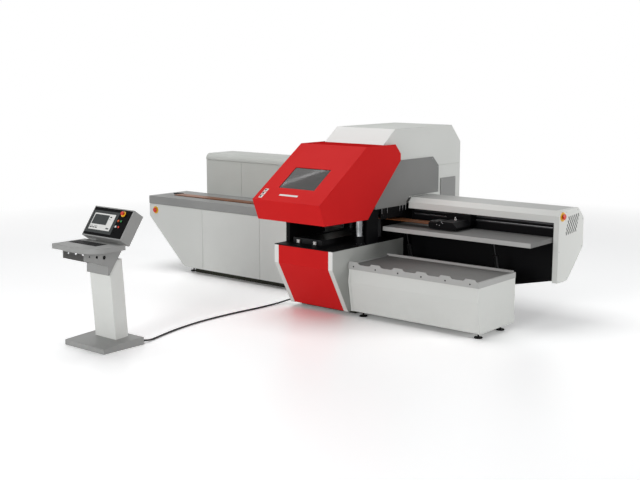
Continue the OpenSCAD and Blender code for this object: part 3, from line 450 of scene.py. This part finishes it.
def buildHeads(tree, given):
    # one head on every point, turned to its facing and spun at random about it
    upright = addNode(tree, "FunctionNodeAlignRotationToVector",
                      {"Vector": readAttribute(tree, "facing", "FLOAT_VECTOR")}, axis="Z").outputs[0]
    angle = addNode(tree, "FunctionNodeRandomValue", {2: 0.0, 3: 2 * pi, "Seed": given["Seed"]},
                    data_type="FLOAT").outputs[1]
    spin = addNode(tree, "FunctionNodeAxisAngleToRotation", {"Axis": up, "Angle": angle}).outputs[0]
    turned = addNode(tree, "FunctionNodeRotateRotation", {0: upright, 1: spin}, rotation_space="LOCAL")
    return addNode(tree, "GeometryNodeInstanceOnPoints", {
        "Points": given["Geometry"], "Instance": objectShape(tree, given["Head"]),
        "Rotation": turned.outputs[0], "Scale": readAttribute(tree, "width", "FLOAT")}).outputs[0]


def buildRow(tree, given):
    # copies of one item, each a step further, a little uneven
    line = addNode(tree, "GeometryNodeMeshLine", {"Count": given["Count"], "Offset": given["Step"]},
                   mode="OFFSET").outputs[0]
    chance = addNode(tree, "FunctionNodeRandomValue", {1: given["Uneven"], "Seed": given["Seed"]},
                     data_type="FLOAT_VECTOR").outputs[0]
    points = addNode(tree, "GeometryNodeSetPosition", {"Geometry": line, "Offset": chance}).outputs[0]
    return addNode(tree, "GeometryNodeInstanceOnPoints", {
        "Points": points, "Instance": objectShape(tree, given["Item"])}).outputs[0]


headTree = geometryTree("headsOnPoints", [("Head", "Object"), ("Seed", "Int")], buildHeads)
rowTree = geometryTree("itemsInRow", [("Item", "Object"), ("Count", "Int"), ("Step", "Vector"),
                                      ("Uneven", "Vector"), ("Seed", "Int")], buildRow)


def growPiece(name, tree, values, host=None):
    # runs the tree once and keeps the outcome as a plain mesh
    host = host or collectionLink(bpy.data.objects.new(name + "Host", bpy.data.meshes.new(name + "Host")))
    grower = host.modifiers.new("grow", "NODES")
    grower.node_group = tree
    for entry in tree.interface.items_tree:
        if entry.item_type == "SOCKET" and entry.in_out == "INPUT" and entry.name in values:
            grower[entry.identifier] = values[entry.name]
    host.update_tag()
    bpy.context.view_layer.update()
    mesh = bpy.data.meshes.new_from_object(host.evaluated_get(bpy.context.evaluated_depsgraph_get()))
    mesh.name = name
    bpy.data.objects.remove(host)
    return collectionLink(bpy.data.objects.new(name, mesh))


def growRow(name, item, finish, count, step, seed=1, uneven=(0.0, 0.0, 0.0)):
    # the item itself is only a pattern and goes away
    values = {"Item": item, "Count": count, "Step": step, "Uneven": uneven, "Seed": seed}
    row = growPiece(name, rowTree, {**values, "Finish": materials[finish]})
    bpy.data.objects.remove(item)
    return row


def pointHost(name, spots):
    # spots are (place, facing, width)
    mesh = bpy.data.meshes.new(name)
    mesh.from_pydata([spot[0] for spot in spots], [], [])
    mesh.attributes.new("facing", "FLOAT_VECTOR", "POINT")
    mesh.attributes.new("width", "FLOAT", "POINT")
    # looked up by name, since a new attribute moves the earlier ones in memory
    for i, (place, facing, width) in enumerate(spots):
        mesh.attributes["facing"].data[i].vector = facing
        mesh.attributes["width"].data[i].value = width
    return collectionLink(bpy.data.objects.new(name, mesh))


def finishPiece(piece, body, slot):
    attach(piece, body)


# screws: one button head, a unit wide, scaled to each place
# a row is (node, shares of its box, facing, width, offsets from there)
headLook = {"sides": 20, "foot": 0.5, "crown": 0.34, "height": 0.26, "rim": 0.14, "sink": 0.14}
collar = {"columnRadius": 0.045, "ring": 0.0529, "thick": 0.014, "angles": range(30, 390, 60)}
screwLook = {
    "coverScrews": {"seed": 4, "finish": "machined_steel", "body": "machine", "rows": [
        ("side_covers", (0, 1, 0), right, 0.013, [(0.010, y, z) for y in (-0.312, -0.018)
                                                  for z in (0.018, 0.492)]),
        ("side_covers", (1, 0, 0), right, 0.011, [(0.0, y, z) for y, z in (
            (0.020, 0.280), (0.020, 0.578), (0.200, 0.764), (1.150, 0.764), (1.269, 0.660),
            (1.269, 0.370))]),
        ("end_cap", (1, 0, 0), right, 0.012, [(0.0, y, z) for y, z in (
            (0.022, 0.022), (0.022, 0.342), (0.230, 0.032), (0.560, 0.342), (0.560, 0.647), (0.430, 0.760),
            (0.170, 0.760))]),
        ("arm_cover", (0, 0, 1), up, 0.010, [(0.038 + 0.620 * i, 0.400, 0.0) for i in range(4)])]},
    "trayScrews": {"seed": 9, "finish": "black_paint", "body": "machine", "rows": [
        ("tray_rim", (0, 0, 0), front, 0.017, [(0.071 + 0.300 * i, -0.0001, 0.033) for i in range(6)])]},
    "collarBolts": {"seed": 2, "finish": "machined_steel", "body": "machine", "rows": [
        ("guide_column", (1, 0.5, 0), up, 0.006, [
            (collar["ring"] * cos(radians(angle)) - collar["columnRadius"],
             collar["ring"] * sin(radians(angle)), collar["thick"]) for angle in collar["angles"]])]},
    "gripperBolts": {"seed": 6, "finish": "machined_steel", "body": "feed_carriage", "rows": [
        ("gripper", (0, 0, 0), front, 0.011, [(x, 0.0, z) for x, z in (
            (0.109, 0.048), (0.147, 0.041), (0.188, 0.067), (0.173, 0.078))])]},
}


def buildButtonHead(shape):
    look = headLook
    made = bmesh.ops.create_cone(shape, cap_ends=True, segments=look["sides"], radius1=look["foot"],
                                 radius2=look["crown"], depth=look["height"])
    for point in made["verts"]:
        point.co.z += look["height"] / 2
    top = max(shape.faces, key=lambda face: face.calc_center_median().z)
    bmesh.ops.inset_individual(shape, faces=[top], thickness=look["rim"])
    bmesh.ops.translate(shape, verts=top.verts, vec=(0.0, 0.0, -look["sink"]))


def makeScrews(look):
    head = meshPiece("buttonHead", buildButtonHead)
    total = 0
    for name, group in look.items():
        spots = [(fromNode(node, shares, offset), facing, width)
                 for node, shares, facing, width, offsets in group["rows"] for offset in offsets]
        values = {"Head": head, "Seed": group["seed"], "Finish": materials[group["finish"]]}
        piece = growPiece(name, headTree, values, pointHost(name + "Spots", spots))
        finishPiece(piece, group["body"], group["finish"])
        total += len(spots)
    bpy.data.objects.remove(head)
    print("screws:", total)


makeScrews(screwLook)


# feed track: plain upper rail, toothed lower rail
trackLook = {"railHeight": 0.018, "upperBevel": 0.0015, "toothHeight": 0.006, "toothDepth": 0.004,
             "toothRoot": 0.0005, "toothWidth": 0.008, "pitch": 0.0115}


def makeTrack(look):
    (x0, y0, z0), (x1, y1, z1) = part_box("feed_rails")
    lowerTop, toothBack = z0 + look["railHeight"], y0 + look["toothDepth"]

    def buildRails(shape):
        addBox(shape, (x0, y0, z1 - look["railHeight"]), (x1, y1, z1), look["upperBevel"])
        addBox(shape, (x0, toothBack, z0), (x1, y1, lowerTop))

    def buildTooth(shape):
        addBox(shape, (x0, y0, lowerTop - look["toothHeight"]),
               (x0 + look["toothWidth"], toothBack + look["toothRoot"], lowerTop))

    rails = meshPiece("feedTrack", buildRails, materials["track_steel"])
    finishPiece(rails, "machine", "machined_steel")
    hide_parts("feed_rails")
    count = int((x1 - x0) / look["pitch"])
    teeth = growRow("rackTeeth", meshPiece("rackTooth", buildTooth), "machined_steel", count,
                    (look["pitch"], 0.0, 0.0), seed=3)
    finishPiece(teeth, "machine", "machined_steel")
    print("rack teeth:", count)


makeTrack(trackLook)


# rods of the strip curtain under the side cover, set out from the curtain's outer, front and upper corner
rodLook = {"stand": 0.0005, "thick": 0.004, "wide": 0.007, "top": -0.001, "bottom": -0.062, "bevel": 0.0008,
           "places": (0.007, 0.112, 0.359, 0.418, 0.475)}


def makeRods(look):
    x, y, z = fromNode("curtain", (1, 0, 1), (look["stand"], 0.0, 0.0))

    def build(shape):
        for place in look["places"]:
            addBox(shape, (x, y + place, z + look["bottom"]),
                   (x + look["thick"], y + place + look["wide"], z + look["top"]), look["bevel"])

    finishPiece(meshPiece("curtainRods", build, materials["machined_steel"]), "machine", "machined_steel")
    print("curtain rods:", len(look["places"]))


makeRods(rodLook)


# keyboard: the same block with real key caps
keyLook = {"columns": 14, "rows": 5, "margin": 0.012, "gap": 0.003, "keyHeight": 0.0025, "sink": 0.0005,
           "baseBevel": 0.001, "keyBevel": 0.0008, "uneven": (0.0004, 0.0003), "seeds": (11, 5)}


def makeKeyboard(look):
    (x0, y0, bottom), (x1, y1, top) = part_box("keyboard")
    deck, margin, gap = top - look["keyHeight"], look["margin"], look["gap"]
    stepX = (x1 - x0 - 2 * margin + gap) / look["columns"]
    stepY = (y1 - y0 - 2 * margin + gap) / look["rows"]

    def buildBase(shape):
        addBox(shape, (x0, y0, bottom), (x1, y1, deck), look["baseBevel"])

    def buildKey(shape):
        low = (x0 + margin, y0 + margin, deck - look["sink"])
        addBox(shape, low, (low[0] + stepX - gap, low[1] + stepY - gap, top), look["keyBevel"])

    base = meshPiece("keyboardBase", buildBase, materials["black_plastic"])
    finishPiece(base, "machine", "black_plastic")
    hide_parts("keyboard")
    row = growRow("keyRow", meshPiece("keyCap", buildKey), "black_plastic", look["columns"],
                  (stepX, 0.0, 0.0), look["seeds"][0], (0.0, 0.0, look["uneven"][0]))
    keys = growRow("keyCaps", row, "black_plastic", look["rows"],
                   (0.0, stepY, 0.0), look["seeds"][1], (0.0, 0.0, look["uneven"][1]))
    finishPiece(keys, "machine", "black_plastic")
    print("keys:", look["columns"] * look["rows"])


makeKeyboard(keyLook)


# flat fields on a leaning face: the screen's picture without text, and plain label plates on the hood
# lean is in radians, a layer is (name, finish, slot, bottom, top, fields), a field is (x0, y0, x1, y1)
screenLook = {"place": fromNode("screen_face", (0.5, 0, 0), (0.0, -0.0070, -0.00442)), "lean": radians(55.3),
              "body": "machine", "layers": [
    ("screenBorder", "screen_dark", "screen_glass", 0.0001, 0.0006, [(-0.277, 0.040, 0.118, 0.286)]),
    ("screenPanel", "label_white", "screen_glass", 0.0006, 0.0008, [(-0.246, 0.074, 0.076, 0.257)]),
    ("screenMarks", "screen_dark", "screen_glass", 0.0008, 0.0010, [
        (-0.236, 0.134, -0.010, 0.243), (0.004, 0.218, 0.032, 0.232), (0.004, 0.196, 0.030, 0.200),
        (-0.236, 0.112, -0.196, 0.117), (-0.180, 0.112, -0.120, 0.115), (-0.236, 0.092, -0.204, 0.103),
        (-0.196, 0.092, -0.164, 0.103), (-0.156, 0.092, -0.124, 0.103), (0.010, 0.092, 0.052, 0.106)])]}
labelLook = {"place": fromNode("hood", (0.5, 0, 0), (0.0, 0.0, 0.241)), "lean": 0.60287, "body": "hood",
             "layers": [
    ("hoodStrip", "label_white", "white_plastic", 0.0001, 0.0005, [(-0.160, 0.098, 0.104, 0.124)]),
    ("hoodPlates", "label_white", "white_plastic", 0.0001, 0.0005, [
        (-0.424, 0.036, -0.372, 0.082), (-0.424, 0.090, -0.372, 0.136), (-0.424, 0.144, -0.372, 0.190)]),
    ("hoodPlateMarks", "black_plastic", "black_plastic", 0.0005, 0.0009, [
        (-0.418, 0.050, -0.396, 0.074), (-0.418, 0.104, -0.396, 0.128), (-0.418, 0.158, -0.396, 0.182)])]}


def makeFields(look):
    turn = Matrix.Translation(look["place"]) @ Matrix.Rotation(look["lean"], 4, "X")
    for name, finish, slot, bottom, top, fields in look["layers"]:
        def build(shape):
            for x0, y0, x1, y1 in fields:
                addBox(shape, (x0, y0, bottom), (x1, y1, top), turn=turn)

        finishPiece(meshPiece(name, build, materials[finish]), look["body"], slot)
    print("layers on", look["body"] + ":", len(look["layers"]))


makeFields(screenLook)
makeFields(labelLook)


# cooling slots of the end cap get rubber lips and a black sheet behind as painted shade, the bracket's cable
# holes a black sheet too
# a painted shade sheet is (node, low corner, high corner), both from the node's outer, front and lower sides
ventLook = {"corner": (0.0, 0.180, 0.510), "lean": 28.0, "slot": (0.010, 0.034), "lip": 0.003,
            "lipDepth": (-0.0004, 0.0008), "columns": 6, "rows": 5, "columnStep": (0.0, 0.044, 0.003),
            "rowStep": (0.0, 0.014, 0.040), "paintedShades": {
                "slotShade": ("end_cap", (-0.0062, 0.162, 0.494), (-0.0057, 0.522, 0.730)),
                "holeShade": ("console_bracket", (-0.0085, 0.039, 0.164), (-0.0065, 0.279, 0.249))}}


def makeVents(look):
    corner = fromNode("end_cap", (1, 0, 0), look["corner"])
    turn = Matrix.Translation(corner) @ Matrix.Rotation(radians(look["lean"]), 4, "X")
    lip, (wide, tall), (under, over) = look["lip"], look["slot"], look["lipDepth"]

    def buildLip(shape):
        for low, high in (((-lip, -lip), (wide + lip, 0.0)), ((-lip, tall), (wide + lip, tall + lip)),
                          ((-lip, 0.0), (0.0, tall)), ((wide, 0.0), (wide + lip, tall))):
            addBox(shape, (under, *low), (over, *high), turn=turn)

    row = growRow("slotLipRow", meshPiece("slotLip", buildLip), "black_plastic", look["columns"],
                  look["columnStep"])
    lips = growRow("slotLips", row, "black_plastic", look["rows"], look["rowStep"])
    finishPiece(lips, "machine", "black_plastic")
    for name, (node, low, high) in look["paintedShades"].items():
        ends = [fromNode(node, (1, 0, 0), offset) for offset in (low, high)]
        shade = meshPiece(name, lambda shape: addBox(shape, *ends), materials["black_paint"])
        finishPiece(shade, "machine", "black_paint")
    print("cooling slots:", look["columns"] * look["rows"])


makeVents(ventLook)


# cable from the console to the press
cableLook = {"diameter": 0.020, "ringDetail": 4, "perSpan": 2, "points": [
    (-0.450, -2.742, 0.030), (-0.452, -2.690, 0.020), (-0.470, -2.600, 0.012), (-0.520, -2.420, 0.012),
    (-0.575, -2.200, 0.012), (-0.618, -1.950, 0.012), (-0.640, -1.700, 0.012), (-0.640, -1.400, 0.012),
    (-0.625, -1.150, 0.012), (-0.600, -0.900, 0.012), (-0.590, -0.700, 0.013), (-0.565, -0.560, 0.022),
    (-0.520, -0.475, 0.044), (-0.480, -0.446, 0.058), (-0.451, -0.440, 0.062)]}


def smoothRoute(points, perSpan):
    # a smooth line through every point, whose direction at a point follows its two neighbours
    route = []
    last = len(points) - 1
    for i in range(last):
        before, a, b, after = (Vector(points[max(0, min(last, k))]) for k in (i - 1, i, i + 1, i + 2))
        for step in range(perSpan):
            t = step / perSpan
            route.append((2 * t**3 - 3 * t**2 + 1) * a + (t**3 - 2 * t**2 + t) * (b - before) / 2
                         + (3 * t**2 - 2 * t**3) * b + (t**3 - t**2) * (after - a) / 2)
    return route + [Vector(points[-1])]


def makeCable(look):
    curve = bpy.data.curves.new("consoleCable", "CURVE")
    curve.dimensions = "3D"
    curve.bevel_depth = look["diameter"] / 2
    curve.bevel_resolution = look["ringDetail"]
    curve.use_fill_caps = True
    route = smoothRoute(look["points"], look["perSpan"])
    line = curve.splines.new("POLY")
    line.points.add(len(route) - 1)
    for point, place in zip(line.points, route):
        point.co = (*place, 1.0)
    line.use_smooth = True
    curve.materials.append(materials["cable_sheath"])
    cable = collectionLink(bpy.data.objects.new("consoleCable", curve))
    finishPiece(cable, "machine", "cable_sheath")
    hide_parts("cable")


makeCable(cableLook)


# floor, light and white background; the floor and sky that are seen are brighter than those that light
studio = {"floorSize": 60.0, "floorColour": (0.78, 0.78, 0.78), "floorRoughness": 0.42, "floorSpecular": 0.4,
          "seenColour": (1.0, 1.0, 1.0), "seenRoughness": 0.34, "seenSpecular": 0.5,
          "seenGain": (0.30, 0.30, 0.30), "white": (1.0, 1.0, 1.0), "fade": (6.0, 10.5),
          "skyColour": (0.96, 0.98, 1.0), "skyStrength": 0.20, "lamps": {
              "ceilingLamp": {"place": (-3.5, -0.5, 13.0), "aim": (-0.6, -0.2, 0.0), "size": 9.0,
                              "power": 740.0},
              "frontLamp": {"place": (1.8, -13.5, 3.6), "aim": (0.0, 0.0, 0.8), "size": 4.0,
                            "power": 720.0},
              "sideLamp": {"place": (12.5, 4.0, 3.8), "aim": (0.5, 0.3, 0.9), "size": 5.0,
                           "power": 650.0},
              # these two are there for their reflection in the window
              "windowPanel": {"place": (-10.85, 3.81, 13.0), "aim": (-10.85, 3.81, 0.0), "size": 4.0,
                              "power": 30.0, "spin": 20.7},
              "windowStrip": {"place": (-10.14, 1.94, 13.0), "aim": (-10.14, 1.94, 0.0), "size": 4.0,
                              "depth": 0.07, "power": 5.0, "spin": 20.7}}}


def seenRay(tree):
    # what the eye sees directly, in gloss or through glass
    path = addNode(tree, "ShaderNodeLightPath").outputs
    total = path["Is Camera Ray"]
    for label in ("Is Glossy Ray", "Is Transmission Ray"):
        total = addNode(tree, "ShaderNodeMath", {0: total, 1: path[label]}, operation="MAXIMUM").outputs[0]
    return total


def mixShaders(tree, factor, first, second):
    return addNode(tree, "ShaderNodeMixShader", {0: factor, 1: first, 2: second}).outputs["Shader"]


def makeFloor(look):
    material, tree, shader = startMaterial("paleFloor")
    feed(tree, shader.inputs["Base Color"], look["floorColour"])
    feed(tree, shader.inputs["Roughness"], look["floorRoughness"])
    feed(tree, shader.inputs["Specular IOR Level"], look["floorSpecular"])
    sheen = addNode(tree, "ShaderNodeBsdfPrincipled", {
        "Base Color": look["seenColour"], "Roughness": look["seenRoughness"],
        "Specular IOR Level": look["seenSpecular"]}).outputs["BSDF"]
    more = addNode(tree, "ShaderNodeBsdfDiffuse", {"Color": look["seenGain"]}).outputs["BSDF"]
    near = addNode(tree, "ShaderNodeAddShader", {0: sheen, 1: more}).outputs["Shader"]
    # far away the floor turns into the white of the background
    away = addNode(tree, "ShaderNodeVectorMath", {0: objectPlace(tree)}, operation="LENGTH")
    far = addNode(tree, "ShaderNodeEmission", {"Color": look["white"], "Strength": 1.0}).outputs["Emission"]
    seen = mixShaders(tree, spread(tree, away.outputs["Value"], 0.0, 1.0, *look["fade"]), near, far)
    tree.links.new(mixShaders(tree, seenRay(tree), shader.outputs["BSDF"], seen),
                   tree.nodes["Material Output"].inputs["Surface"])
    half = look["floorSize"] / 2

    def build(shape):
        spots = ((-half, -half), (half, -half), (half, half), (-half, half))
        shape.faces.new([shape.verts.new((x, y, 0.0)) for x, y in spots])

    floor = meshPiece("paleFloor", build, material)
    if floor.data.polygons[0].normal.z < 0:
        floor.data.flip_normals()


def makeWorld(look):
    world = bpy.data.worlds.new("studioWorld")
    bpy.context.scene.world = world
    world.use_nodes = True
    tree = world.node_tree
    sky = tree.nodes["Background"]
    feed(tree, sky.inputs["Color"], look["skyColour"])
    feed(tree, sky.inputs["Strength"], look["skyStrength"])
    plain = addNode(tree, "ShaderNodeBackground", {"Color": look["white"], "Strength": 1.0})
    tree.links.new(mixShaders(tree, seenRay(tree), sky.outputs["Background"], plain.outputs["Background"]),
                   tree.nodes["World Output"].inputs["Surface"])


def makeLamps(lamps):
    for name, look in lamps.items():
        data = bpy.data.lights.new(name, "AREA")
        data.size = look["size"]
        data.energy = look["power"]
        if "depth" in look:
            data.shape = "RECTANGLE"
            data.size_y = look["depth"]
        lamp = collectionLink(bpy.data.objects.new(name, data))
        lamp.location = look["place"]
        ray = Vector(look["aim"]) - Vector(look["place"])
        lamp.rotation_euler = ray.to_track_quat("-Z", "Y").to_euler()
        lamp.rotation_euler.rotate_axis("Z", radians(look.get("spin", 0.0)))


makeFloor(studio)
makeWorld(studio)
makeLamps(studio["lamps"])
bpy.context.scene.view_settings.view_transform = "Standard"
print("studio set:", len(studio["lamps"]), "lamps")
